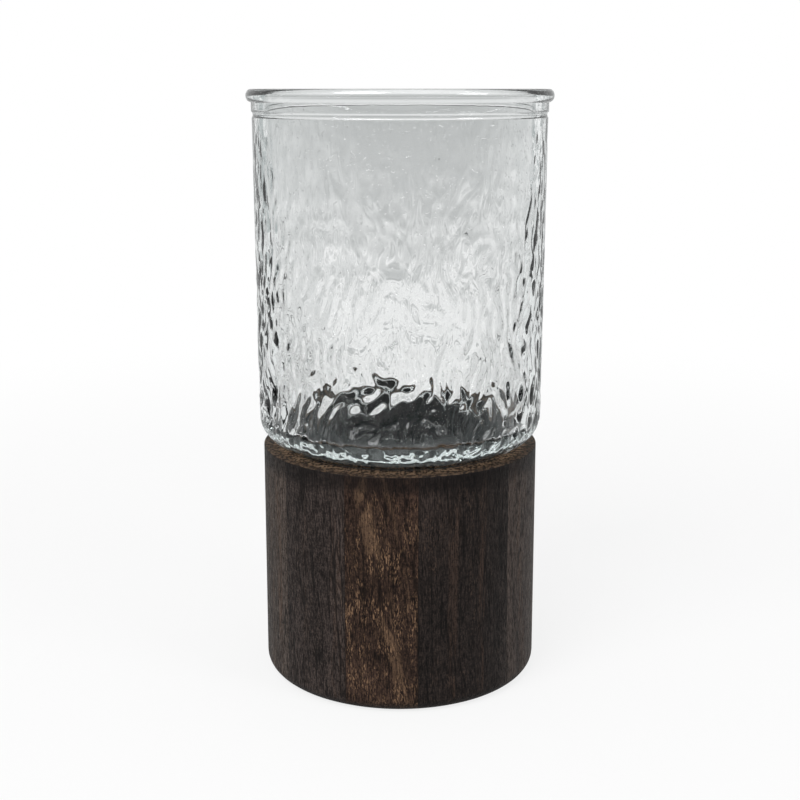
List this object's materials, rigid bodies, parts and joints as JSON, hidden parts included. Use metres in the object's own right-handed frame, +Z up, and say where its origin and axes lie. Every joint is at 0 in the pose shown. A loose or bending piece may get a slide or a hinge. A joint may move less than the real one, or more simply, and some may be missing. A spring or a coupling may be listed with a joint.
{
  "type": "glass vase with wooden base",
  "caption": "Straight round clear glass vase with a rippled outer wall and a rolled rim, standing on a round turned base of glued dark wood strips.",
  "frame": {"origin": "centre of the wooden base's underside", "axes": "+Z up through the mouth, -Y towards the viewer of the picture, +X to that viewer's right"},
  "size_m": [0.1022, 0.1022, 0.2],
  "materials": {
    "wood_black": "oiled satin, open grain",
    "wood_red_brown": "oiled satin, open grain",
    "wood_slate": "oiled satin, open grain",
    "wood_grey_brown": "oiled satin, open grain",
    "wood_light_brown": "oiled satin, open grain",
    "adhesive": "clear, slightly milky",
    "clear_glass": "clear, moulded ripple outside, smooth inside"
  },
  "bodies": {
    "root": {"wood_strip_1_1": "wood_black", "wood_strip_1_2": "wood_red_brown", "wood_strip_1_3": "wood_slate", "wood_strip_1_4": "wood_black", "wood_strip_2_1": "wood_grey_brown", "wood_strip_2_2": "wood_red_brown", "wood_strip_2_3": "wood_slate", "wood_strip_2_4": "wood_light_brown", "wood_strip_3_1": "wood_black", "wood_strip_3_2": "wood_red_brown", "wood_strip_3_3": "wood_slate", "wood_strip_3_4": "wood_black", "wood_strip_3_5": "wood_grey_brown", "wood_strip_4_1": "wood_grey_brown", "wood_strip_4_2": "wood_red_brown", "wood_strip_4_3": "wood_slate", "wood_strip_4_4": "wood_light_brown", "wood_strip_5_1": "wood_black", "wood_strip_5_2": "wood_red_brown", "wood_strip_5_3": "wood_slate", "wood_strip_5_4": "wood_black", "adhesive_disc": "adhesive", "glass_vessel": "clear_glass"}
  },
  "joints": []
}
